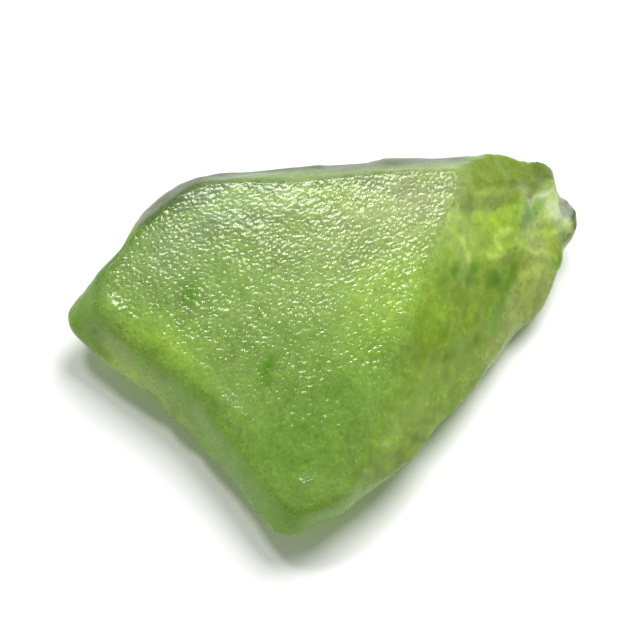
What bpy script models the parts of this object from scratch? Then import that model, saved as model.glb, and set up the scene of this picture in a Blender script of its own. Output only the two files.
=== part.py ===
"""A rough sphene (titanite) crystal: one wedge-shaped, broken piece that lies on a small flat spot.

Its plan outline is drawn out to a block, its faces are sawn off that block as planes, its two
front left walls are cut in one piece, and its chips are shelled out with ellipsoids. The skin is
then divided evenly and given its low relief: the etched hillocks of the frosted face, the ripples
of the glassy break and the pits.
Units are metres, +Z is up, and the origin is on the surface it lies on, under its middle.
"""

import math

import bmesh
import bpy
from mathutils import Euler, Vector, noise

MM = 0.001

BLOCK_HEIGHT = 5.0 * MM

# How finely the skin is divided on faces that look up, sideways and down.
CELL_UP = 0.19 * MM
CELL_SIDE = 0.24 * MM
CELL_DOWN = 0.38 * MM

# A face whose normal rises or falls by less than this is a side.
STEEP = 0.45
# The flat spot's normal falls by more than this.
FLAT_SPOT = 0.999

# Edges and faces of the net below these sizes are joined to their neighbours.
SHORTEST_EDGE = 0.085 * MM
THINNEST_FACE = 0.045 * MM
SHARP_ANGLE = math.radians(9)
LEAST_AGREEMENT = 0.3
JOINING_ROUNDS = 20
CUT_TOLERANCE = 0.0001 * MM
SLICE_TOLERANCE = 0.001 * MM

# The widest outline seen from above, in millimetres, anticlockwise from the left end.
OUTLINE_MM = [
    (-6.06, 0.87), (-5.59, 0.11), (-5.21, -0.07), (-5.03, -0.33), (-4.74, -0.58),
    (-4.02, -0.87), (-3.60, -1.41), (-3.12, -1.72), (-2.89, -2.14), (-2.29, -2.73),
    (-1.92, -3.21), (-1.37, -4.21), (-1.09, -4.37), (-0.88, -4.42), (-0.65, -4.43),
    (-0.36, -4.31), (-0.18, -4.17), (0.35, -3.98), (0.70, -3.65), (1.29, -3.20), (1.76, -2.82),
    (2.87, -1.58), (3.21, -0.99), (3.55, -0.55), (3.82, -0.06), (4.60, 1.06), (5.08, 1.40),
    (5.53, 2.25), (5.62, 2.65), (5.72, 2.87), (5.71, 3.15), (5.79, 3.30), (5.97, 3.47),
    (6.10, 3.74), (6.07, 4.01), (5.92, 4.12), (5.71, 4.17), (5.54, 4.26), (5.57, 4.41),
    (5.50, 4.75), (5.27, 4.84), (4.92, 4.77), (4.62, 4.64), (4.31, 4.62), (3.46, 4.53),
    (2.72, 4.58), (1.29, 4.42), (-1.41, 4.31), (-2.53, 4.21), (-3.41, 3.98), (-4.31, 3.42),
    (-4.61, 2.89), (-4.79, 2.41), (-5.26, 1.94), (-5.87, 1.43), (-6.09, 1.12),
]

# Each face: a point on it in millimetres, the compass direction that it leans to, anticlockwise
# from +X, and the tilt of its outward normal from straight up, both in degrees.
TOP_FACE = ((-0.21, 0.81, 2.93), -124.9, 12.9)
SLOPE_FACE = ((2.91, 2.46, 3.65), -31.3, 50.1)
UPPER_FACES = {
    "frosted top": TOP_FACE,
    "glassy slope": SLOPE_FACE,
    "lower part of the slope": ((0.92, -2.85, 2.36), -36.0, 53.0),
    "pale strip under the slope": ((4.26, 1.35, 1.59), -33.5, 57.5),
    "upper right corner": ((4.21, 3.52, 3.07), 12.0, 33.5),
    "worn back edge": ((-0.06, 3.82, 3.30), 97.0, 42.0),
    "back edge on the left": ((-3.80, 3.30, 2.75), 134.0, 48.0),
    "lip at the left end": ((-5.57, 0.74, 1.94), -172.2, 49.7),
    "front tip": ((-0.55, -4.45, 1.50), -88.0, 72.0),
    "front right edge": ((1.10, -3.62, 1.70), -46.0, 73.0),
    "tip on the left": ((-1.25, -4.34, 1.05), -118.0, 68.0),
}
UNDERSIDE_FACES = {
    "front left undercut": ((-3.35, -1.75, 0.88), -137.0, 132.0),
    "tip undercut": ((-0.80, -4.25, 0.82), -96.0, 138.0),
    "front right undercut": ((1.10, -3.60, 1.32), -52.7, 147.7),
    "right undercut": ((5.55, 2.40, 0.55), -8.0, 161.0),
    "right corner undercut": ((5.90, 3.85, 0.66), 42.0, 152.0),
    "back undercut": ((0.60, 4.30, 1.35), 93.0, 128.0),
    "back left undercut": ((-4.20, 3.50, 1.40), 131.0, 134.0),
    "left undercut": ((-6.05, 1.00, 1.10), 178.0, 141.0),
    "left belly": ((-1.55, 1.00, 0.00), 176.0, 170.5),
    "front belly": ((0.00, -0.40, 0.00), -95.0, 172.5),
    "right belly": ((1.75, 1.00, 0.00), -12.0, 171.0),
    "back belly": ((0.00, 2.75, 0.00), 84.0, 166.0),
}

# The foot of the two front left walls in millimetres, run on past the crystal at both ends.
WALL_FOOT_MM = [(-6.39, 0.87), (-3.12, -1.75), (-0.54, -5.24)]
WALL_FOOT_HEIGHT = 0.93 * MM
WALL_TILT = math.radians(71.5)

# Each chip: its centre and its three half-lengths in millimetres, and its turn in degrees.
CHIPS = {
    "shell at the right corner": ((6.55, 2.70, 2.76), (2.00, 2.00, 2.00), (0, 0, 0)),
    "scar above the shell": ((5.16, 3.40, 2.62), (0.40, 0.62, 0.48), (0, 40, -20)),
    "flake on the left rim": ((-4.52, 3.10, 2.98), (0.95, 0.30, 0.42), (0, 8, 52)),
    "small flake by the left end": ((-5.34, 2.16, 2.62), (0.42, 0.22, 0.32), (0, 0, 50)),
    "lens at the left front": ((-5.49, -0.58, 1.75), (0.90, 0.90, 0.90), (0, 0, 0)),
    "lens in the front left wall": ((-2.42, -3.53, 1.84), (0.80, 0.80, 0.80), (0, 0, 0)),
    "nick in the lower right edge": ((3.62, -0.80, 1.28), (0.36, 0.30, 0.30), (0, 0, 40)),
    "nick near the tip": ((1.55, -3.50, 1.65), (0.34, 0.28, 0.40), (0, 0, 40)),
    "break across the back": ((2.10, 5.60, 1.90), (3.20, 1.60, 1.75), (0, 0, -3)),
    "break at the back left": ((-3.20, 5.35, 1.55), (2.10, 1.50, 1.45), (0, 0, 30)),
    "hollow under the left end": ((-4.40, 0.90, -2.60), (3.20, 2.60, 3.22), (0, 0, 25)),
    "hollow under the right end": ((4.10, 2.40, -2.50), (2.60, 1.90, 3.08), (0, 0, 15)),
}
CHIP_DETAIL = 3

# Each pit in the frosted face: its place in millimetres, its radius and its depth.
PITS_MM = [
    ((-3.20, 1.02), 0.34, 0.10),
    ((-1.32, -0.98), 0.42, 0.12),
    ((-1.18, -1.42), 0.36, 0.09),
    ((0.16, -1.70), 0.38, 0.06),
    ((1.55, 0.72), 0.45, 0.06),
    ((-0.88, -2.90), 0.30, 0.06),
    ((0.82, -2.52), 0.32, 0.08),
]

# Relief of the frosted face: the height and the width of its swells, its hillocks and its flow
# marks, the line that the flow marks are counted along, and how far they wander.
SWELL, SWELL_SIZE = 0.070 * MM, 2.6 * MM
HILLOCK, HILLOCK_SIZE = 0.050 * MM, 0.85 * MM
FLOW, FLOW_SIZE = 0.030 * MM, 1.15 * MM
FLOW_ACROSS = Vector((0.83, 0.38, 0))
FLOW_WANDER, FLOW_WANDER_SIZE = 1.3, 2.2 * MM
PIT_SHARPNESS = 1.6

# Relief of the glassy slope: rings round the place that the break spread from, and low steps.
RING, RING_SIZE = 0.030 * MM, 1.05 * MM
RING_MIDDLE = Vector((6.4, 4.6, 2.4)) * MM
RING_WANDER, RING_WANDER_SIZE = 0.9, 1.5 * MM
STEP, STEP_SIZE, STEPS = 0.035 * MM, 1.3 * MM, 2.5
SLOPE_WAVE, SLOPE_WAVE_SIZE = 0.038 * MM, 1.8 * MM

# Relief of the sides and the underside: long waves, and smaller ones on them.
WAVE, WAVE_SIZE = 0.075 * MM, 1.6 * MM
WAVELET, WAVELET_SIZE = 0.030 * MM, 0.6 * MM

# Rough relief falls off by this much from one octave to the next finer one.
ROUGHNESS, FINER = 0.6, 2.0
RELIEF_FADE_HEIGHT = 0.25 * MM

# How nearly a face must look the way of the frosted top or the glassy slope to take its relief.
LIKE_TOP = 0.995
LIKE_SLOPE = 0.93


def normal_of(azimuth, tilt):
    """The outward normal of a face that leans this way."""
    a, t = math.radians(azimuth), math.radians(tilt)
    return Vector((math.cos(a) * math.sin(t), math.sin(a) * math.sin(t), math.cos(t)))


def clear_scene():
    for obj in list(bpy.data.objects):
        bpy.data.objects.remove(obj)


def collection(name):
    made = bpy.data.collections.new(name)
    bpy.context.scene.collection.children.link(made)
    return made


def block():
    """The outline drawn out to a block with upright sides, as a bmesh."""
    bm = bmesh.new()
    corners = [bm.verts.new((x * MM, y * MM, 0)) for x, y in OUTLINE_MM]
    base = bm.faces.new(corners)
    drawn = bmesh.ops.extrude_face_region(bm, geom=[base])["geom"]
    top = [v for v in drawn if isinstance(v, bmesh.types.BMVert)]
    bmesh.ops.translate(bm, verts=top, vec=(0, 0, BLOCK_HEIGHT))
    bmesh.ops.recalc_face_normals(bm, faces=bm.faces)
    return bm


def saw_off(bm, face):
    """Takes away what lies outside a face and closes the cut."""
    point, azimuth, tilt = face
    cut = bmesh.ops.bisect_plane(
        bm,
        geom=[*bm.verts, *bm.edges, *bm.faces],
        dist=CUT_TOLERANCE,
        plane_co=Vector(point) * MM,
        plane_no=normal_of(azimuth, tilt),
        clear_outer=True,
    )["geom_cut"]
    edges = [e for e in cut if isinstance(e, bmesh.types.BMEdge)]
    bmesh.ops.holes_fill(bm, edges=edges)


def cutter(name, mesh, group):
    """A mesh in the cutters' collection, shown as wire and left out of renders."""
    made = bpy.data.objects.new(name, mesh)
    made.hide_render = True
    made.display_type = "WIRE"
    group.objects.link(made)
    return made


def wall_cutter(name, group):
    """A solid that takes away what lies in front of the leaning walls, mitred where they meet."""
    foot = [Vector((x, y)) * MM for x, y in WALL_FOOT_MM]
    runs = [(b - a).normalized() for a, b in zip(foot, foot[1:])]
    outward = [Vector((run.y, -run.x)) for run in runs]
    mitres = [outward[0]]
    for before, after in zip(outward, outward[1:]):
        mitres.append((before + after) / (1 + before.dot(after)))
    mitres.append(outward[-1])
    lean = 1 / math.tan(WALL_TILT)
    high, far = BLOCK_HEIGHT, BLOCK_HEIGHT
    section = ((-high * lean, high), (high * lean, -high), (far, -high), (far, high))
    bm = bmesh.new()
    rows = []
    for out, up in section:
        level = WALL_FOOT_HEIGHT + up
        places = [p + m * out for p, m in zip(foot, mitres)]
        rows.append([bm.verts.new((*place, level)) for place in places])
    for row, after in zip(rows, rows[1:] + rows[:1]):
        for i in range(len(foot) - 1):
            bm.faces.new((row[i], row[i + 1], after[i + 1], after[i]))
    for end in (0, -1):
        bm.faces.new([row[end] for row in rows])
    bmesh.ops.recalc_face_normals(bm, faces=bm.faces)
    mesh = bpy.data.meshes.new(name)
    bm.to_mesh(mesh)
    bm.free()
    return cutter(name, mesh, group)


def chip_cutter(name, chip, group):
    """An ellipsoid that shells out one chip."""
    centre, half, turn = chip
    bm = bmesh.new()
    bmesh.ops.create_icosphere(bm, subdivisions=CHIP_DETAIL, radius=1)
    bmesh.ops.scale(bm, verts=bm.verts, vec=Vector(half) * MM)
    mesh = bpy.data.meshes.new(name)
    bm.to_mesh(mesh)
    bm.free()
    made = cutter(name, mesh, group)
    made.location = Vector(centre) * MM
    made.rotation_euler = Euler([math.radians(d) for d in turn])
    return made


def shaped(bm, group):
    """The block with its leaning walls cut and every chip taken out of it, as a new bmesh."""
    mesh = bpy.data.meshes.new("blank")
    bm.to_mesh(mesh)
    bm.free()
    blank = bpy.data.objects.new("blank", mesh)
    group.objects.link(blank)
    cutters = [wall_cutter("front left walls", group)]
    cutters += [chip_cutter(name, chip, group) for name, chip in CHIPS.items()]
    for made in cutters:
        cut = blank.modifiers.new(made.name, "BOOLEAN")
        cut.operation = "DIFFERENCE"
        cut.object = made
    graph = bpy.context.evaluated_depsgraph_get()
    result = bmesh.new()
    result.from_object(blank, graph)
    bpy.data.objects.remove(blank)
    return result


def slice_faces(bm, wanted, normal, spacing):
    """Divides the wanted faces by a row of parallel planes, this far apart."""
    reach = [v.co.dot(normal) for v in bm.verts]
    first, last = math.ceil(min(reach) / spacing), math.floor(max(reach) / spacing)
    for step in range(first, last + 1):
        faces = [f for f in bm.faces if wanted(f.normal)]
        edges = {e for f in faces for e in f.edges}
        verts = {v for f in faces for v in f.verts}
        bmesh.ops.bisect_plane(
            bm,
            geom=[*verts, *edges, *faces],
            dist=SLICE_TOLERANCE,
            plane_co=normal * (step * spacing + SLICE_TOLERANCE),
            plane_no=normal,
        )


def is_sharp(edge):
    return edge.calc_face_angle(0) > SHARP_ANGLE


def neighbours(vert):
    return {e.other_vert(vert) for e in vert.link_edges}


def can_join(vert, target, edge):
    """Whether a point may slide along an edge into its other end without spoiling the skin."""
    if any(is_sharp(e) for e in vert.link_edges) and not is_sharp(edge):
        return False
    opposite = {v for f in edge.link_faces for v in f.verts} - {vert, target}
    if neighbours(vert) & neighbours(target) != opposite or len(opposite) != 2:
        return False
    for face in vert.link_faces:
        if target in face.verts:
            continue
        a, b, c = (target.co if v is vert else v.co for v in face.verts)
        across = (b - a).cross(c - a)
        if across.length == 0 or across.dot(face.normal) < LEAST_AGREEMENT * across.length:
            return False
    return True


def awkward_edges(bm):
    """Edges that are too short, and the shortest edge of every face that is too thin."""
    awkward = {e for e in bm.edges if e.calc_length() < SHORTEST_EDGE}
    for face in bm.faces:
        edges = sorted(face.edges, key=lambda e: e.calc_length())
        if 2 * face.calc_area() < THINNEST_FACE * edges[-1].calc_length():
            awkward.add(edges[0])
    return sorted(awkward, key=lambda e: (e.calc_length(), e.index))


def join_awkward_edges(bm):
    """Joins the ends of every awkward edge, a few at a time."""
    for _ in range(JOINING_ROUNDS):
        bm.normal_update()
        taken, joins = set(), {}
        for edge in awkward_edges(bm):
            ends = sorted(edge.verts, key=lambda v: sum(is_sharp(e) for e in v.link_edges))
            around = {v for end in ends for f in end.link_faces for v in f.verts}
            if around & taken:
                continue
            for vert, target in (ends, ends[::-1]):
                if can_join(vert, target, edge):
                    joins[vert] = target
                    taken |= around
                    break
        if not joins:
            return
        bmesh.ops.weld_verts(bm, targetmap=joins)
        bm.edges.index_update()


def divide_skin(bm):
    """Gives the skin an even net of small faces, with the crystal's own edges kept in it."""
    for turn in (0, 60, 120):
        upright = normal_of(turn, 90)
        slice_faces(bm, lambda n: n.z > STEEP, upright, CELL_UP)
        slice_faces(bm, lambda n: -FLAT_SPOT < n.z < -STEEP, upright, CELL_DOWN)
    for turn, tilt in ((0, 0), (0, 90), (90, 90)):
        slice_faces(bm, lambda n: abs(n.z) <= STEEP, normal_of(turn, tilt), CELL_SIDE)
    bmesh.ops.triangulate(bm, faces=bm.faces, ngon_method="BEAUTY")
    join_awkward_edges(bm)
    bm.normal_update()
    flat = [e for e in bm.edges if not is_sharp(e)]
    bmesh.ops.beautify_fill(bm, faces=bm.faces, edges=flat)


def rough(place, size, octaves):
    """Smooth random relief from about -1 to 1, for a place in metres and a size in metres."""
    return noise.fractal(place / size, ROUGHNESS, FINER, octaves)


def waves(distance, spacing, wander):
    """Evenly spaced waves from -1 to 1 that wander by so many of their own widths."""
    return math.sin((distance / spacing + wander) * math.tau)


def frosted_relief(p):
    """Etched hillocks, long flow marks and pits of the frosted face."""
    wander = FLOW_WANDER * noise.noise(p / FLOW_WANDER_SIZE)
    height = SWELL * rough(p, SWELL_SIZE, 2) + HILLOCK * rough(p, HILLOCK_SIZE, 2)
    height += FLOW * waves(p.dot(FLOW_ACROSS), FLOW_SIZE, wander)
    for (x, y), radius, deep in PITS_MM:
        away = math.hypot(p.x / MM - x, p.y / MM - y) / radius
        height -= deep * MM * math.exp(-PIT_SHARPNESS * away * away)
    return height


def glassy_relief(p):
    """Conchoidal rings, small steps and low waves of the broken slope."""
    wander = RING_WANDER * noise.noise(p / RING_WANDER_SIZE)
    rings = RING * waves((p - RING_MIDDLE).length, RING_SIZE, wander)
    climb = rough(p, STEP_SIZE, 2) * STEPS
    steps = STEP * (climb - math.floor(climb) - 0.5)
    return rings + steps + SLOPE_WAVE * rough(p, SLOPE_WAVE_SIZE, 3)


def broken_relief(p):
    """The uneven break of the sides and the underside."""
    return WAVE * rough(p, WAVE_SIZE, 3) + WAVELET * rough(p, WAVELET_SIZE, 2)


def relief_height(vert):
    """The relief at one point: the mean over the kinds of face that meet there."""
    top, slope = normal_of(*TOP_FACE[1:]), normal_of(*SLOPE_FACE[1:])
    kinds = set()
    for face in vert.link_faces:
        if face.normal.dot(top) > LIKE_TOP:
            kinds.add(frosted_relief)
        elif face.normal.dot(slope) > LIKE_SLOPE:
            kinds.add(glassy_relief)
        else:
            kinds.add(broken_relief)
    return sum(kind(vert.co) for kind in kinds) / len(kinds)


def add_relief(bm):
    """Moves each point of the skin along its normal, and leaves the flat spot below it alone."""
    bm.normal_update()
    heights = {v: relief_height(v) for v in bm.verts}
    moves = {}
    for vert, height in heights.items():
        around = sum(heights[n] for n in neighbours(vert)) / len(vert.link_edges)
        fade = min(1.0, vert.co.z / RELIEF_FADE_HEIGHT)
        moves[vert] = vert.normal * fade * (height + around) / 2
    for vert, move in moves.items():
        vert.co += move


def centre_over_origin(bm):
    """Moves the crystal so that the middle of its plan outline is over the origin."""
    across, along = [v.co.x for v in bm.verts], [v.co.y for v in bm.verts]
    middle = Vector((min(across) + max(across), min(along) + max(along), 0)) / 2
    bmesh.ops.translate(bm, verts=bm.verts, vec=-middle)


def crystal_material():
    """Clear apple-green crystal."""
    material = bpy.data.materials.new("sphene")
    material.use_nodes = True
    shader = material.node_tree.nodes["Principled BSDF"]
    shader.inputs["Base Color"].default_value = (0.27, 0.50, 0.06, 1)
    shader.inputs["Roughness"].default_value = 0.3
    shader.inputs["Metallic"].default_value = 0.0
    shader.inputs["IOR"].default_value = 1.9
    return material


def main():
    clear_scene()
    crystals, cutters = collection("sphene crystal"), collection("cutters")
    bm = block()
    for face in (*UPPER_FACES.values(), *UNDERSIDE_FACES.values()):
        saw_off(bm, face)
    bm = shaped(bm, cutters)
    divide_skin(bm)
    add_relief(bm)
    centre_over_origin(bm)
    mesh = bpy.data.meshes.new("sphene_crystal")
    bm.to_mesh(mesh)
    bm.free()
    mesh.materials.append(crystal_material())
    crystals.objects.link(bpy.data.objects.new("sphene_crystal", mesh))


main()
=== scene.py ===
"""A rough green sphene crystal on a white sheet, under a soft overhead light."""

import math

import bmesh
import bpy
import numpy as np
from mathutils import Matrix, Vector, noise

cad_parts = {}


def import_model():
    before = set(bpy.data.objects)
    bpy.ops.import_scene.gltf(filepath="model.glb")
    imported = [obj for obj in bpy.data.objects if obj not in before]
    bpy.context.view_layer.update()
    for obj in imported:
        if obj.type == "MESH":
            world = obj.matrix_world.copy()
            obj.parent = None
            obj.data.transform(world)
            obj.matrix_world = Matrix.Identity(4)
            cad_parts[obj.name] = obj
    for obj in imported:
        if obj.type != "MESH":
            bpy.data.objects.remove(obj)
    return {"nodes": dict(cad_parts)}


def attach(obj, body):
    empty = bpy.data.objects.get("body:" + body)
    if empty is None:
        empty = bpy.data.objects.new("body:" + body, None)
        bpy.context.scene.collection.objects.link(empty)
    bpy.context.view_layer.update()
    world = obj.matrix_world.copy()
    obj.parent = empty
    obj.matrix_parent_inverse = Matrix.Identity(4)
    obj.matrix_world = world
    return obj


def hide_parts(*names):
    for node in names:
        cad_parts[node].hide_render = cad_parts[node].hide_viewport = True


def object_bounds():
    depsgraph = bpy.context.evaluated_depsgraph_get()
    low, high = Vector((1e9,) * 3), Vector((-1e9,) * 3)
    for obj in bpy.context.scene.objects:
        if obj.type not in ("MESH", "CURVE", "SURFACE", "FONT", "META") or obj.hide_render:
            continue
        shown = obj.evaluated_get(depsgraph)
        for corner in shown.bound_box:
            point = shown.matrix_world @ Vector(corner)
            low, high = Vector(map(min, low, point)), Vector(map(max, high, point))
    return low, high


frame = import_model()
cad_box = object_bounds()

MM = 0.001

# The camera looks down at the crystal from the front, at the photograph's angle.
LENS_MM = 135
SENSOR_MM = 36
VIEW_ELEVATION = math.radians(62)
VIEW_DISTANCE = 56.36 * MM
VIEW_TARGET = Vector((-0.146, 0.675, 1.5)) * MM
CLIP_START = 1 * MM

# The crystal's own faces: compass direction and tilt of the outward normal, in degrees.
FROSTED_FACE = (-124.9, 12.9)
FROSTED_POINT = np.array((-0.229, 0.613, 2.93)) * MM
GLASSY_SLOPE = (-31.3, 50.1)

# The cosine between a point's normal and a face's: from the first value the point starts to
# belong to the face, from the second it does so in full. A face's colour reaches over its rims.
FACE_MATCH = (0.90, 0.97)
COLOUR_MATCH = (0.70, 0.95)

# The voxel remesh has a smallest voxel of 0.1 mm, so it works on a copy this much larger.
ENLARGED = 100
VOXEL = 0.0665 * MM
SMOOTHING_ROUNDS = 7
NORMAL_ROUNDS = 8
COARSE_NORMAL_ROUNDS = 5
SPLIT_FROM_FROST = 0.1

# The etched grain is drawn out along this direction in plan.
GRAIN_AZIMUTH = math.radians(28)
GRAIN_STRETCH = 1.4
GRAIN_SIZE = 0.040 * MM
GRAIN_HEIGHT = 0.0090 * MM
GRAIN_WARP_SIZE = 2.2 * MM
GRAIN_WARP = 0.5 * MM

# The grain grows to its full height between these, measured along Y plus this share of X. At
# the front it has the lowest share of its height. Patches of this size have more or less of it.
GRAIN_FADE = (-3.8 * MM, -0.2 * MM)
GRAIN_FADE_LEAN = 0.35
LEAST_GRAIN = 0.42
GRAIN_PATCH_SIZE = 0.9 * MM
GRAIN_PATCH_MEAN = 0.85
GRAIN_PATCH_AMOUNT = 0.5

# The frosted face is brought this share of the way to its plane. Points further off than the
# reach are moved only as much as a point at that distance.
TOP_FLATTENING = 0.9
FLATTENING_REACH = 0.25 * MM

# The rim of the frosted face at the front, in plan in mm; the flattening fades towards it.
FRONT_RIM = ((-5.4, 0.4), (-3.2, -1.5), (-1.0, -3.9), (0.6, -3.8))
RIM_FADE = (0.2 * MM, 0.8 * MM)

# Worn edges: corners in plan in mm, the full and the outer width in mm, and how much they are worn.
WORN_EDGES = (
    (((-5.4, 0.4), (-3.2, -1.5), (-1.0, -3.9)), 0.7, 1.4, 1.0),
    (((-5.2, 2.0), (-5.5, 1.5), (-5.6, 0.9), (-5.5, 0.3)), 0.3, 0.8, 1.0),
    (((-1.1, -4.1), (-0.3, -4.2), (0.6, -3.8)), 0.4, 0.9, 0.9),
    (((3.34, 3.45), (2.89, 2.27), (2.25, 0.52), (1.62, -1.31), (0.57, -3.73)), 0.1, 0.35, 0.7),
    (((-4.9, 2.0), (-3.6, 3.4), (0.0, 3.7), (3.3, 4.0)), 0.1, 0.35, 0.25),
)
WORN_ROUNDS = 90
SLOPE_CALMING = 0.8

# The wear stops between these depths below the frosted face. It starts between these heights
# above the sheet, and the relief reaches its full height at this one.
WORN_DEPTH = (0.3 * MM, 0.8 * MM)
WORN_HEIGHT = (0.2 * MM, 0.6 * MM)
FULL_RELIEF_HEIGHT = 0.2 * MM

# Relief of the glassy slope and of the other breaks.
RIPPLE_SIZE = 0.55 * MM
RIPPLE_HEIGHT = 0.013 * MM
HACKLE_SIZE = 0.30 * MM
HACKLE_HEIGHT = 0.007 * MM
WAVE_SIZE = 0.60 * MM
WAVE_HEIGHT = 0.026 * MM
CHATTER_SIZE = 0.24 * MM
CHATTER_HEIGHT = 0.008 * MM

# The outlines of the marks in the colour wander by this much.
MARK_WANDER_SIZE = 0.28 * MM
MARK_WANDER = 0.07 * MM
PATCH_SOFTNESS = 0.05 * MM

# A mark starts to show where the normal's Z is above the first value, and shows in full above
# the second. At the back these are higher, so that no mark runs down the back walls.
UPWARD = (-0.1, 0.2)
UPWARD_AT_BACK = (0.30, 0.50)
BACK_FROM_Y = (2.0 * MM, 3.2 * MM)
BACK_UNTIL_X = (3.0 * MM, 4.5 * MM)

# Clouds in the colour: size, amount everywhere, added amount on the slope, and the seed.
CLOUDS = (
    (1.10 * MM, 0.16, 0.00, 9.9),
    (0.33 * MM, 0.08, 0.20, 4.4),
    (0.15 * MM, 0.03, 0.15, 6.1),
)
GRAIN_IN_COLOUR = 0.30
DARKEST = 0.01

# Seeds keep the noise patterns apart: each shifts its pattern in this direction.
SEED_DIRECTION = (1, 1.7, 0.6)
WARP_SEEDS = (20, 27)
WANDER_SEEDS = (31, 40)
GRAIN_SEED = 3.1
GRAIN_PATCH_SEED = 8.8
RIPPLE_SEED = 1.3
HACKLE_SEED = 5.9
WAVE_SEED = 2.2
CHATTER_SEED = 7.4

# Colours of the mineral, and of the painted glows, sheen, highlights and shade.
GRASS = (0.40, 0.59, 0.14)
SIDE = (0.38, 0.66, 0.03)
GLASSY = (0.42, 0.60, 0.05)
LIME = (0.52, 0.80, 0.09)
GLOW = (0.72, 0.98, 0.16)
DEEP = (0.20, 0.42, 0.03)
DARK = (0.08, 0.18, 0.02)
OLIVE = (0.36, 0.46, 0.04)
GOLD = (0.52, 0.66, 0.05)
YELLOW = (0.82, 0.94, 0.24)
PALE_OLIVE = (0.56, 0.66, 0.12)
# Greyish and pale colours for painted sheen on the frosted face, and greyish also for the thin
# chip.
GREY_GREEN = (0.44, 0.54, 0.34)
PALE_SHEEN = (0.80, 0.86, 0.42)
# Near white for painted highlights and glints, and for the thin chip.
NEAR_WHITE = (0.93, 0.95, 0.84)
WHITE = (1.0, 1.0, 0.96)
GREY = (0.13, 0.17, 0.08)

# Longer outlines of marks, in plan in mm.
BACK_BEVEL = (
    (-4.15, 2.9), (-3.44, 3.5), (-2.9, 3.85), (-1.8, 4.1),
    (-0.6, 4.15), (0.6, 3.95), (1.7, 3.95), (3.0, 4.05),
)
FRONT_EDGE = ((-5.2, 0.3), (-3.2, -1.4), (-1.84, -3.2), (-0.8, -4.2), (0.5, -3.95))
LOW_CORNER = ((0.91, -3.0), (1.56, -2.72), (2.32, -2.28), (2.0, -3.2), (0.87, -4.0), (0.57, -3.96))
PALE_STRIP = (
    (4.69, 2.3), (4.55, 1.92), (4.34, 1.28), (3.99, 0.4),
    (3.6, -0.26), (4.2, -0.3), (5.2, 1.2), (5.9, 2.4),
)
BACK_CORNER = (
    (3.36, 3.9), (4.1, 4.6), (5.6, 5.0), (5.43, 4.0), (5.06, 3.69), (4.6, 3.52), (3.35, 2.91),
)
CRACK_WEDGE = (
    (4.5, 2.7), (4.61, 2.95), (4.85, 3.4), (5.32, 3.9), (5.23, 3.58), (4.93, 3.2), (4.65, 2.75),
)
CHIP = (
    (4.85, 3.08), (5.23, 3.58), (5.33, 3.85), (5.6, 4.4), (6.3, 4.2),
    (6.3, 3.2), (5.66, 2.75), (5.2, 2.5), (4.61, 2.58),
)
CHIP_LIP = ((4.53, 2.49), (4.69, 2.44), (4.92, 2.45), (5.22, 2.56), (5.50, 2.64))

ABSORPTION_COLOR = (0.80, 0.91, 0.45, 1)
ABSORPTION_DENSITY = 300
SPHENE_IOR = 1.9
TRANSMISSION = 0.65
SPECULAR_TINT = (0.24, 0.25, 0.22, 1)

# Roughness of the side breaks, and how much lower it is on the two main faces.
SIDE_ROUGHNESS = 0.28
FROSTED_SMOOTHER = 0.16
GLASSY_SMOOTHER = 0.12

# Fine specks and small clouds in the colour and the roughness, and their share on the sides.
SPECKLE_SIZE = 0.12 * MM
SPECKLE_AMOUNT = 0.17
CLOUD_SIZE = 0.34 * MM
CLOUD_AMOUNT = 0.13
GLOSS_AMOUNT = 0.20
SPECKS_ON_SIDES = 0.25
SPECKLE_SEED = 0.0
CLOUD_SEED = 5.0
GLOSS_SEED = 9.0
SPOT_DETAIL = 3
SPOT_ROUGHNESS = 0.65
SPOT_RANGE = (0.3, 0.7)

# The white sheet, just under the crystal.
SHEET_HALF = 0.4
SHEET_DROP = 0.02 * MM
SHEET_COLOR = (0.90, 0.90, 0.90, 1)
SHEET_ROUGHNESS = 0.6

# Lights: direction from the crystal, distance and width in metres, and power in watts. The
# small one stands where the frosted face mirrors it nearly to the camera, so the grain sparkles.
LIGHTS = {
    "key": ((0.35, 0.47, 0.95), 0.40, 0.22, 1.66),
    "top": ((-0.24, 0.300, 0.93), 0.20, 0.036, 0.110),
}
SKY_STRENGTH = 0.33

MAX_BOUNCES = 28
TRANSMISSION_BOUNCES = 24
TRANSPARENT_BOUNCES = 16


def normal_of(face):
    azimuth, tilt = (math.radians(a) for a in face)
    return np.array(
        (
            math.cos(azimuth) * math.sin(tilt),
            math.sin(azimuth) * math.sin(tilt),
            math.cos(tilt),
        )
    )


def smooth_step(low, high, value):
    t = np.clip((value - low) / (high - low), 0, 1)
    return t * t * (3 - 2 * t)


def remeshed(source):
    """A mesh of even small quads that follows the CAD solid, at its real size."""
    mesh = source.data.copy()
    mesh.transform(source.matrix_world)
    large = bpy.data.objects.new("large_copy", mesh)
    bpy.context.scene.collection.objects.link(large)
    for vert in mesh.vertices:
        vert.co *= ENLARGED
    remesh = large.modifiers.new("even quads", "REMESH")
    remesh.mode = "VOXEL"
    remesh.voxel_size = VOXEL * ENLARGED
    graph = bpy.context.evaluated_depsgraph_get()
    fine = bpy.data.meshes.new_from_object(large.evaluated_get(graph))
    bpy.data.objects.remove(large)
    set_points(fine, points_of(fine) / ENLARGED)
    return fine


def points_of(mesh):
    co = np.empty(len(mesh.vertices) * 3)
    mesh.vertices.foreach_get("co", co)
    return co.reshape(-1, 3)


def set_points(mesh, co):
    mesh.vertices.foreach_set("co", co.ravel())
    mesh.update()


def normals_of(mesh):
    out = np.empty(len(mesh.vertices) * 3)
    mesh.vertex_normals.foreach_get("vector", out)
    return out.reshape(-1, 3)


def edges_of(mesh):
    out = np.empty(len(mesh.edges) * 2, np.int64)
    mesh.edges.foreach_get("vertices", out)
    return out.reshape(-1, 2)


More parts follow.
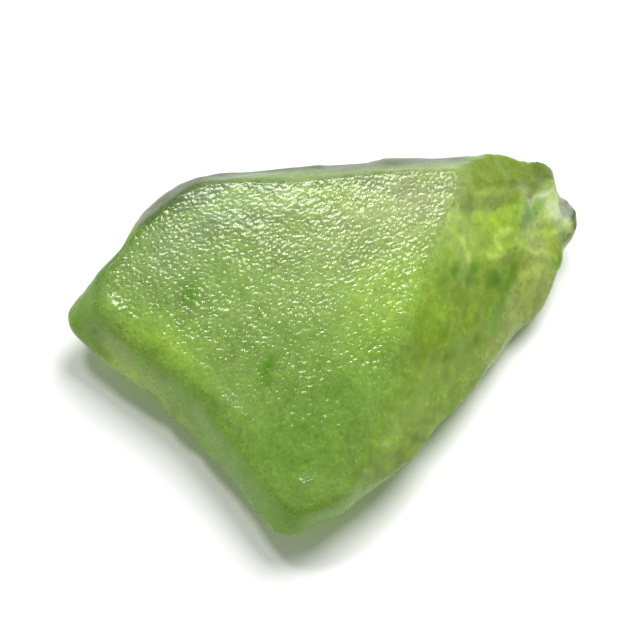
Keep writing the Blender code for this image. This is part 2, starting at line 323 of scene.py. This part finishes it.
def averaged(values, edges):
    """The mean of each point's neighbours, for a value or a vector at every point."""
    count = len(values)
    a, b = edges[:, 0], edges[:, 1]
    links = np.bincount(a, minlength=count) + np.bincount(b, minlength=count)
    columns = values.reshape(count, -1)
    out = np.empty_like(columns)
    for k in range(columns.shape[1]):
        total = np.bincount(a, columns[b, k], count) + np.bincount(b, columns[a, k], count)
        out[:, k] = total / links
    return out.reshape(values.shape)


def smoothed(values, edges, rounds):
    for _ in range(rounds):
        values = 0.5 * values + 0.5 * averaged(values, edges)
    return values


def smoothed_where(values, edges, rounds, weight):
    """Smoothed only as much as the weight of each point says."""
    for _ in range(rounds):
        change = averaged(values, edges) - values
        values = values + (0.5 * weight)[:, None] * change
    return values


def distance_to_line(co, corners):
    """Distance in plan from each point to a line through these corners."""
    nearest = np.full(len(co), np.inf)
    for a, b in zip(corners, corners[1:]):
        a, b = np.array(a) * MM, np.array(b) * MM
        t = np.clip((co[:, :2] - a) @ (b - a) / ((b - a) @ (b - a)), 0, 1)
        nearest = np.minimum(nearest, np.linalg.norm(co[:, :2] - a - t[:, None] * (b - a), axis=1))
    return nearest


def oval(co, x, y, length, width, azimuth=0):
    """A soft oval in plan: 1 in its middle; its half length and half width are in mm."""
    turn = math.radians(azimuth)
    dx, dy = co[:, 0] - x * MM, co[:, 1] - y * MM
    along = (dx * math.cos(turn) + dy * math.sin(turn)) / (length * MM)
    across = (dy * math.cos(turn) - dx * math.sin(turn)) / (width * MM)
    return np.exp(-(along**2 + across**2))


def line(co, corners, width):
    """A soft line in plan, this many mm wide on either side."""
    return np.exp(-((distance_to_line(co, corners) / (width * MM)) ** 2))


def patch(co, corners):
    """A patch in plan with straight sides and a soft rim; its corners are in mm."""
    away = distance_to_line(co, (*corners, corners[0]))
    inside = np.zeros(len(co), bool)
    for (ax, ay), (bx, by) in zip(corners, (*corners[1:], corners[0])):
        ax, ay, bx, by = ax * MM, ay * MM, bx * MM, by * MM
        spans = (ay > co[:, 1]) != (by > co[:, 1])
        rise = by - ay if by != ay else 1.0
        inside ^= spans & (co[:, 0] < ax + (co[:, 1] - ay) / rise * (bx - ax))
    return smooth_step(-PATCH_SOFTNESS, PATCH_SOFTNESS, np.where(inside, away, -away))


def marks_on(co, grassy):
    """Every mark in the colour: where it is, its colour, and how far it covers the one below."""
    return (
        # Painted glows of light through the crystal, darker areas towards the front, and painted
        # sheen on the frosted face.
        (oval(co, 1.7, 0.9, 2.3, 1.1, 72) * grassy, LIME, 0.85),
        (oval(co, 1.35, 0.65, 1.1, 0.7, 62) * grassy, GLOW, 0.80),
        (oval(co, 0.6, 1.0, 2.6, 1.6, 20), LIME, 0.20),
        (oval(co, -3.9, -0.4, 1.2, 0.6, -42), LIME, 0.85),
        (oval(co, -3.6, -0.4, 0.6, 0.4, -42) * grassy, GLOW, 0.45),
        (oval(co, -0.2, -2.9, 2.2, 1.2, 62), DEEP, 0.45),
        (oval(co, -1.2, -2.7, 0.9, 0.5, -60), DEEP, 0.30),
        (oval(co, -3.0, 2.5, 2.0, 0.9, 38), GREY_GREEN, 0.60),
        (oval(co, -1.8, 3.1, 2.2, 0.7, 6), GREY_GREEN, 0.45),
        (oval(co, 1.9, 2.7, 1.8, 1.0, 4), PALE_SHEEN, 0.90),
        (oval(co, 0.6, 1.7, 2.8, 1.5, 25), PALE_SHEEN, 0.35),
        # The dark line along the upper left rim, painted highlights along the rim and a painted
        # glint by it, and dark flaws in the face.
        (line(co, ((-5.35, 1.3), (-5.0, 1.75), (-4.3, 2.5), (-3.8, 2.95)), 0.15), DEEP, 0.75),
        (oval(co, -3.15, 0.72, 0.26, 0.18, 75), DEEP, 1.0),
        (oval(co, -3.92, -0.54, 0.14, 0.10, 60), DEEP, 0.50),
        (line(co, ((-4.80, 2.30), (-4.50, 2.70), (-4.15, 3.05)), 0.05), NEAR_WHITE, 0.90),
        (line(co, ((-5.25, 1.75), (-5.12, 1.95)), 0.04), NEAR_WHITE, 0.80),
        (oval(co, -3.10, 3.62, 0.18, 0.05, 12), NEAR_WHITE, 0.90),
        (oval(co, -1.33, -1.01, 0.28, 0.16, 60), DEEP, 0.95),
        (oval(co, -1.36, -1.36, 0.18, 0.26, 10), DEEP, 0.80),
        (oval(co, -0.37, -2.45, 0.20, 0.12, 30), DEEP, 0.45),
        (oval(co, 0.10, -1.70, 0.34, 0.20, 20), DEEP, 0.35),
        (oval(co, 1.55, 0.72, 0.40, 0.22, 30), DEEP, 0.25),
        # The narrow bevel along the back, darkened with painted shade.
        (line(co, BACK_BEVEL, 0.38), GREY, 1.0),
        # The front left wall and the lens at the left end; the lime and yellow marks there are a
        # painted glow with painted glints.
        (oval(co, -1.82, -3.42, 0.42, 0.16, -56), DEEP, 0.75),
        (line(co, ((-4.7, -0.35), (-3.99, -0.94), (-3.6, -1.34)), 0.24), LIME, 0.90),
        (oval(co, -4.07, -0.99, 0.13, 0.08, -50), YELLOW, 0.80),
        (oval(co, -4.82, -0.30, 0.45, 0.20, -45), YELLOW, 0.85),
        (line(co, ((-4.55, -0.60), (-4.15, -0.93), (-3.65, -1.37)), 0.12), YELLOW, 0.75),
        (line(co, ((-3.40, -1.66), (-3.10, -1.98)), 0.07), YELLOW, 0.85),
        (oval(co, -5.33, 0.06, 0.34, 0.17, -40), OLIVE, 0.60),
        (line(co, ((-5.24, -0.20), (-4.89, -0.39)), 0.05), YELLOW, 0.85),
        (line(co, ((-5.13, 0.01), (-4.78, -0.22), (-4.89, -0.34)), 0.06), LIME, 0.65),
        (oval(co, -5.37, 0.25, 0.07, 0.03, -10), DARK, 0.90),
        # The lower part of the slope with a painted glint, and the rims where both faces have one
        # green; along the edge of the slope that greyer green is a painted reflection of the white
        # sheet.
        (patch(co, LOW_CORNER), OLIVE, 0.55),
        (line(co, ((1.77, -2.33), (1.96, -2.40), (2.25, -2.28), (2.45, -2.20)), 0.045), DARK, 0.60),
        (line(co, ((1.16, -2.92), (1.35, -2.76)), 0.035), YELLOW, 0.85),
        (oval(co, 1.9, -2.1, 0.7, 0.4, 30), GOLD, 0.30),
        (line(co, ((1.85, -0.8), (1.45, -1.9), (0.60, -3.9)), 0.30), GRASS, 0.65),
        (line(co, FRONT_EDGE, 0.25), GRASS, 0.55),
        # The upper part of the slope: the pale strip, the dark corner and the cracks. Its yellow,
        # lime and gold marks are painted bright reflections inside the cracks, and its pale spot
        # and near-white line are painted glints.
        (oval(co, 2.3, -0.9, 0.6, 0.3, 60), OLIVE, 0.40),
        (oval(co, 2.9, -0.4, 0.35, 0.2, 60), DEEP, 0.35),
        (patch(co, PALE_STRIP), PALE_OLIVE, 1.0),
        (patch(co, BACK_CORNER), OLIVE, 0.60),
        (patch(co, ((4.9, 4.6), (5.9, 4.9), (5.5, 3.95), (4.9, 3.75))), GREY, 0.30),
        (line(co, ((3.55, 2.99), (4.07, 3.28), (4.73, 3.61)), 0.08), YELLOW, 0.70),
        (oval(co, 4.62, 3.62, 0.22, 0.12, 30), PALE_SHEEN, 0.75),
        (patch(co, CRACK_WEDGE), DEEP, 0.85),
        (line(co, ((4.80, 3.39), (5.10, 3.70), (5.40, 3.95)), 0.03), NEAR_WHITE, 0.90),
        (line(co, ((4.45, 1.92), (4.24, 1.32), (3.89, 0.44)), 0.09), DEEP, 0.75),
        (oval(co, 3.86, 2.56, 0.42, 0.28, 30), GOLD, 0.80),
        (line(co, ((4.04, 2.47), (4.29, 2.54), (3.95, 2.25), (4.18, 2.10)), 0.07), YELLOW, 0.95),
        (line(co, ((3.80, 1.86), (4.10, 1.94)), 0.06), YELLOW, 0.95),
        (line(co, ((2.88, 1.99), (3.10, 1.89), (3.26, 1.73), (3.37, 1.54)), 0.08), YELLOW, 1.0),
        (oval(co, 2.76, 1.45, 0.12, 0.07, 60), LIME, 0.80),
        (oval(co, 3.11, 1.12, 0.16, 0.12, 30), LIME, 0.80),
        (oval(co, 3.40, 1.40, 0.30, 0.11, 70), DEEP, 1.0),
        (oval(co, 3.99, 1.46, 0.28, 0.18, 50), DEEP, 0.95),
        (oval(co, 4.33, 1.65, 0.14, 0.09, 50), DEEP, 0.65),
        (oval(co, 2.98, 1.22, 0.22, 0.12, 50), DEEP, 0.90),
        (oval(co, 4.18, 2.67, 0.10, 0.08, 0), DEEP, 0.65),
        (oval(co, 3.4, 3.0, 0.5, 0.3, 60), GOLD, 0.30),
        # The chipped corner.
        (patch(co, CHIP), PALE_OLIVE, 0.90),
        (oval(co, 5.80, 3.75, 0.48, 0.42, 0), NEAR_WHITE, 1.0),
        (oval(co, 5.56, 3.66, 0.24, 0.18, 30), WHITE, 1.0),
        (oval(co, 5.80, 3.20, 0.28, 0.22, 0), GREY_GREEN, 0.70),
        (line(co, ((6.02, 3.78), (6.02, 3.43)), 0.07), GREY, 0.85),
        (line(co, CHIP_LIP, 0.07), YELLOW, 0.90),
        (oval(co, 5.55, 2.44, 0.14, 0.12, 0), DEEP, 0.80),
    )


def tint_at(co, grassy, olive, upward, grain):
    """The colour at each point, with the painted glows, sheen, highlights and shade; grassy and
    olive are the shares of the two faces.
    """
    tint = np.array(SIDE) + grassy[:, None] * (np.array(GRASS) - np.array(SIDE))
    tint += olive[:, None] * (np.array(GLASSY) - np.array(SIDE))
    above = smooth_step(*UPWARD, upward)
    at_back = smooth_step(*BACK_FROM_Y, co[:, 1]) * (1 - smooth_step(*BACK_UNTIL_X, co[:, 0]))
    above = above + at_back * (smooth_step(*UPWARD_AT_BACK, upward) - above)
    wander = [noise_at(co, MARK_WANDER_SIZE, seed) for seed in WANDER_SEEDS]
    wandered = co + MARK_WANDER * np.stack([*wander, np.zeros(len(co))], axis=1)
    for mask, color, amount in marks_on(wandered, grassy):
        tint = tint + (amount * mask * above)[:, None] * (np.array(color) - tint)
    cloud = GRAIN_IN_COLOUR * grassy * grain / GRAIN_HEIGHT
    for size, amount, on_slope, seed in CLOUDS:
        cloud += (amount + on_slope * olive) * noise_at(co, size, seed)
    return np.clip(tint * (1 + cloud)[:, None], DARKEST, 1)


def add_attribute(mesh, name, values):
    attribute = mesh.attributes.new(name, "FLOAT", "POINT")
    attribute.data.foreach_set("value", values.astype(np.float32))


def add_color(mesh, name, colors):
    attribute = mesh.attributes.new(name, "FLOAT_COLOR", "POINT")
    full = np.ones((len(colors), 4), np.float32)
    full[:, :3] = colors
    attribute.data.foreach_set("color", full.ravel())


def noise_at(points, size, seed):
    """Smooth random values from about -1 to 1 at the points, for bumps of this size."""
    shift = Vector([seed * part for part in SEED_DIRECTION])
    return np.array([noise.noise(Vector(p) / size + shift) for p in points])


def frost_of(normals):
    return smooth_step(*FACE_MATCH, normals @ normal_of(FROSTED_FACE))


def split_quads(mesh, chosen):
    """Cut each quad whose corners are all chosen into four."""
    bm = bmesh.new()
    bm.from_mesh(mesh)
    faces = [face for face in bm.faces if all(chosen[v.index] for v in face.verts)]
    edges = {edge for face in faces for edge in face.edges}
    bmesh.ops.subdivide_edges(bm, edges=list(edges), cuts=1, use_grid_fill=True)
    bm.to_mesh(mesh)
    bm.free()


def etched_grain(co):
    """Fine drawn-out bumps that wander in direction over the face."""
    warp_x, warp_y = (GRAIN_WARP * noise_at(co, GRAIN_WARP_SIZE, seed) for seed in WARP_SEEDS)
    x = co[:, 0] + warp_x
    y = co[:, 1] + warp_y
    along = (x * math.cos(GRAIN_AZIMUTH) + y * math.sin(GRAIN_AZIMUTH)) / GRAIN_STRETCH
    across = y * math.cos(GRAIN_AZIMUTH) - x * math.sin(GRAIN_AZIMUTH)
    turned = np.stack([along, across, co[:, 2]], axis=1)
    return GRAIN_HEIGHT * noise_at(turned, GRAIN_SIZE, GRAIN_SEED)


def calm_normals(mesh, edges, rounds):
    """The mesh's normals, averaged over their surroundings."""
    calm = smoothed(normals_of(mesh), edges, rounds)
    return calm / np.linalg.norm(calm, axis=1)[:, None]


def wear_edges(mesh, edges, co):
    """Round the worn edges and calm the slope."""
    worn = np.zeros(len(co))
    for corners, full, outer, amount in WORN_EDGES:
        near = 1 - smooth_step(full * MM, outer * MM, distance_to_line(co, corners))
        worn = np.maximum(worn, amount * near)
    depth = (FROSTED_POINT - co) @ normal_of(FROSTED_FACE)
    worn *= 1 - smooth_step(*WORN_DEPTH, depth)
    facing = smoothed(normals_of(mesh), edges, NORMAL_ROUNDS) @ normal_of(GLASSY_SLOPE)
    worn = np.maximum(worn, SLOPE_CALMING * smooth_step(*FACE_MATCH, facing))
    worn *= smooth_step(*WORN_HEIGHT, co[:, 2])
    set_points(mesh, smoothed_where(co, edges, WORN_ROUNDS, worn))


def relief(co, frost, glassy, grain):
    """How far each point is raised: grain on the frosted face, ripples and waves elsewhere."""
    ripple = RIPPLE_HEIGHT * noise_at(co, RIPPLE_SIZE, RIPPLE_SEED)
    hackle = HACKLE_HEIGHT * (1 - 2 * np.abs(noise_at(co, HACKLE_SIZE, HACKLE_SEED)))
    wave = WAVE_HEIGHT * noise_at(co, WAVE_SIZE, WAVE_SEED)
    chatter = CHATTER_HEIGHT * noise_at(co, CHATTER_SIZE, CHATTER_SEED)
    fade = smooth_step(*GRAIN_FADE, co[:, 1] + GRAIN_FADE_LEAN * co[:, 0])
    patches = noise_at(co, GRAIN_PATCH_SIZE, GRAIN_PATCH_SEED)
    etch = frost * (LEAST_GRAIN + (1 - LEAST_GRAIN) * fade)
    etch *= GRAIN_PATCH_MEAN + GRAIN_PATCH_AMOUNT * patches
    rest = 1 - frost - glassy
    height = etch * grain + glassy * (ripple + hackle) + rest * (wave + chatter)
    return height * smooth_step(0, FULL_RELIEF_HEIGHT, co[:, 2])


def fine_crystal(source):
    """The crystal with rounded edges, an etched top and a rippled, glassy break."""
    mesh = remeshed(source)
    edges = edges_of(mesh)
    co = smoothed(points_of(mesh), edges, SMOOTHING_ROUNDS)
    set_points(mesh, co)
    wear_edges(mesh, edges, co)
    split_quads(mesh, frost_of(calm_normals(mesh, edges, COARSE_NORMAL_ROUNDS)) > SPLIT_FROM_FROST)

    edges = edges_of(mesh)
    co = points_of(mesh)
    normals = normals_of(mesh)
    calm = calm_normals(mesh, edges, NORMAL_ROUNDS)
    flat, slope = normal_of(FROSTED_FACE), normal_of(GLASSY_SLOPE)
    frost = frost_of(calm)
    glassy = smooth_step(*FACE_MATCH, calm @ slope) * (1 - frost)

    off_plane = np.clip((co - FROSTED_POINT) @ flat, -FLATTENING_REACH, FLATTENING_REACH)
    inner = smooth_step(*RIM_FADE, distance_to_line(co, FRONT_RIM))
    co = co - flat * (TOP_FLATTENING * frost * inner * off_plane)[:, None]
    grain = etched_grain(co)
    co = co + normals * relief(co, frost, glassy, grain)[:, None]
    co = np.clip(co, *cad_box)
    set_points(mesh, co)

    grassy = smooth_step(*COLOUR_MATCH, calm @ flat) * (1 - glassy)
    olive = smooth_step(*COLOUR_MATCH, calm @ slope) * (1 - grassy)
    specks = SPECKS_ON_SIDES + (1 - SPECKS_ON_SIDES) * np.maximum(grassy, olive)
    gloss = SIDE_ROUGHNESS - FROSTED_SMOOTHER * frost - GLASSY_SMOOTHER * glassy
    add_attribute(mesh, "gloss", gloss)
    add_attribute(mesh, "specks", specks)
    add_color(mesh, "tint", tint_at(co, grassy, olive, calm[:, 2], grain))
    mesh.shade_smooth()
    piece = bpy.data.objects.new("crystal", mesh)
    bpy.context.scene.collection.objects.link(piece)
    return piece


def new_material(name):
    material = bpy.data.materials.new(name)
    material.use_nodes = True
    return material, material.node_tree.nodes, material.node_tree.links


def attribute_node(nodes, name):
    node = nodes.new("ShaderNodeAttribute")
    node.attribute_name = name
    return node


def varied(nodes, links, value, size, amount, seed, strength):
    """A colour or number, raised and lowered by this share in spots of this size."""
    place = nodes.new("ShaderNodeTexCoord").outputs["Object"]
    spots = nodes.new("ShaderNodeTexNoise")
    spots.noise_dimensions = "4D"
    spots.inputs["W"].default_value = seed
    spots.inputs["Scale"].default_value = 1 / size
    spots.inputs["Detail"].default_value = SPOT_DETAIL
    spots.inputs["Roughness"].default_value = SPOT_ROUGHNESS
    links.new(place, spots.inputs["Vector"])
    factor = nodes.new("ShaderNodeMapRange")
    factor.inputs["From Min"].default_value = SPOT_RANGE[0]
    factor.inputs["From Max"].default_value = SPOT_RANGE[1]
    factor.inputs["To Min"].default_value = -amount
    factor.inputs["To Max"].default_value = amount
    links.new(spots.outputs["Fac"], factor.inputs["Value"])
    share = nodes.new("ShaderNodeMath")
    share.operation = "MULTIPLY_ADD"
    links.new(factor.outputs["Result"], share.inputs[0])
    links.new(strength, share.inputs[1])
    share.inputs[2].default_value = 1
    product = nodes.new("ShaderNodeVectorMath")
    product.operation = "MULTIPLY"
    links.new(value, product.inputs[0])
    links.new(share.outputs["Value"], product.inputs[1])
    return product.outputs["Vector"]


def crystal_material():
    """Green sphene: plain transmission and absorption, frosted where the mesh says so."""
    material, nodes, links = new_material("sphene")
    shader = nodes["Principled BSDF"]
    shader.inputs["Transmission Weight"].default_value = TRANSMISSION
    shader.inputs["IOR"].default_value = SPHENE_IOR
    shader.inputs["Specular Tint"].default_value = SPECULAR_TINT
    tint = attribute_node(nodes, "tint").outputs["Color"]
    specks = attribute_node(nodes, "specks").outputs["Fac"]
    speckled = varied(nodes, links, tint, SPECKLE_SIZE, SPECKLE_AMOUNT, SPECKLE_SEED, specks)
    clouded = varied(nodes, links, speckled, CLOUD_SIZE, CLOUD_AMOUNT, CLOUD_SEED, specks)
    links.new(clouded, shader.inputs["Base Color"])
    gloss = attribute_node(nodes, "gloss").outputs["Fac"]
    roughness = varied(nodes, links, gloss, SPECKLE_SIZE, GLOSS_AMOUNT, GLOSS_SEED, specks)
    links.new(roughness, shader.inputs["Roughness"])

    absorption = nodes.new("ShaderNodeVolumeAbsorption")
    absorption.inputs["Color"].default_value = ABSORPTION_COLOR
    absorption.inputs["Density"].default_value = ABSORPTION_DENSITY
    links.new(absorption.outputs["Volume"], nodes["Material Output"].inputs["Volume"])
    return material


def floor_material():
    material, nodes, _ = new_material("white_sheet")
    shader = nodes["Principled BSDF"]
    shader.inputs["Base Color"].default_value = SHEET_COLOR
    shader.inputs["Roughness"].default_value = SHEET_ROUGHNESS
    return material


def floor():
    mesh = bpy.data.meshes.new("floor")
    half = SHEET_HALF
    corners = [(-half, -half, 0), (half, -half, 0), (half, half, 0), (-half, half, 0)]
    mesh.from_pydata(corners, [], [(0, 1, 2, 3)])
    sheet = bpy.data.objects.new("floor", mesh)
    bpy.context.scene.collection.objects.link(sheet)
    sheet.location.z = -SHEET_DROP
    mesh.materials.append(floor_material())


def area_light(name, direction, distance, size, power):
    """A square soft light that faces the crystal from this direction."""
    data = bpy.data.lights.new(name, "AREA")
    data.size = size
    data.energy = power
    light = bpy.data.objects.new(name, data)
    away = Vector(direction).normalized()
    light.location = away * distance
    light.rotation_euler = away.to_track_quat("Z", "Y").to_euler()
    bpy.context.scene.collection.objects.link(light)


def camera():
    data = bpy.data.cameras.new("camera")
    data.lens = LENS_MM
    data.sensor_width = SENSOR_MM
    data.clip_start = CLIP_START
    view = bpy.data.objects.new("camera", data)
    away = Vector((0, -math.cos(VIEW_ELEVATION), math.sin(VIEW_ELEVATION)))
    view.location = VIEW_TARGET + away * VIEW_DISTANCE
    view.rotation_euler = away.to_track_quat("Z", "Y").to_euler()
    bpy.context.scene.collection.objects.link(view)
    bpy.context.scene.camera = view


def world():
    sky = bpy.data.worlds.new("studio")
    bpy.context.scene.world = sky
    sky.use_nodes = True
    background = sky.node_tree.nodes["Background"]
    background.inputs["Color"].default_value = (1, 1, 1, 1)
    background.inputs["Strength"].default_value = SKY_STRENGTH


def light_paths():
    scene = bpy.context.scene
    scene.cycles.max_bounces = MAX_BOUNCES
    scene.cycles.transmission_bounces = TRANSMISSION_BOUNCES
    scene.cycles.transparent_max_bounces = TRANSPARENT_BOUNCES
    scene.view_settings.view_transform = "Standard"


crystal = fine_crystal(frame["nodes"]["sphene_crystal"])
crystal.data.materials.clear()
crystal.data.materials.append(crystal_material())
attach(crystal, "root")
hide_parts("sphene_crystal")

floor()
for light_name, light_values in LIGHTS.items():
    area_light(light_name, *light_values)
world()
light_paths()
camera()
